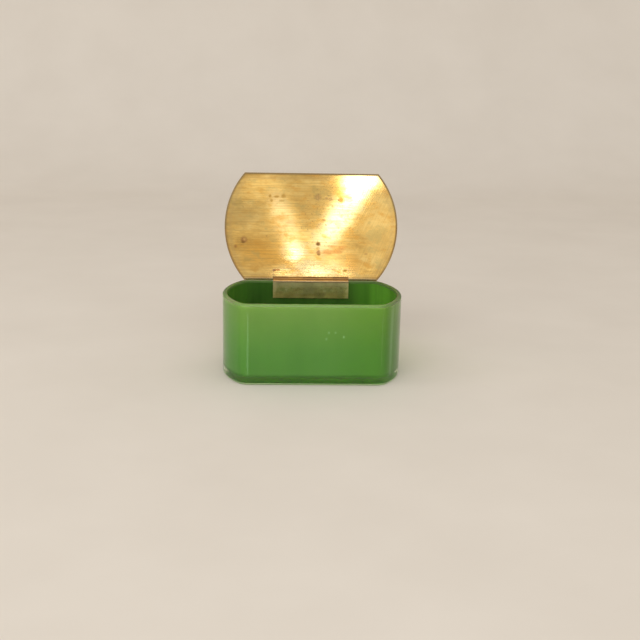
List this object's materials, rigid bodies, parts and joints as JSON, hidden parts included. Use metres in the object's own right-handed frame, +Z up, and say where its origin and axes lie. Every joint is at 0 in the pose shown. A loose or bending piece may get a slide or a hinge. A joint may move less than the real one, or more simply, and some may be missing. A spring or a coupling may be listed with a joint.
{
  "type": "hinged-lid glass box",
  "caption": "Oblong cased green glass box with straight sides, bowed ends and a flat brass lid on a rear knuckle hinge, for keeping coins, notes or small desk items.",
  "frame": {"origin": "centre of the flat underside of the glass", "axes": "+Z up, +X along the box's length, -Y to the front and +Y to the hinge side"},
  "size_m": [0.1514, 0.1082, 0.1589],
  "materials": {
    "clear_glass": "clear polished glass",
    "green_glass": "solid green glass layer, glossy",
    "lid_brass": "brushed brass with light mottled tarnish",
    "hinge_brass": "tarnished sheet brass",
    "solder": "dull soft solder",
    "cement": "matt cement"
  },
  "bodies": {
    "box": {"clear_glass_body": "clear_glass", "green_glass_lining": "green_glass", "hinge_cement": "cement", "box_hinge_leaf": "hinge_brass", "hinge_pin": "hinge_brass"},
    "lid": {"lid_plate": "lid_brass", "lid_hinge_leaf": "lid_brass", "lid_solder": "solder"}
  },
  "joints": [
    {"name": "lid_hinge", "type": "hinge", "parent": "box", "child": "lid", "pos_m": [0, 0.047, 0.0681], "axis": [1, 0, 0], "range_deg": [0, 99]}
  ]
}
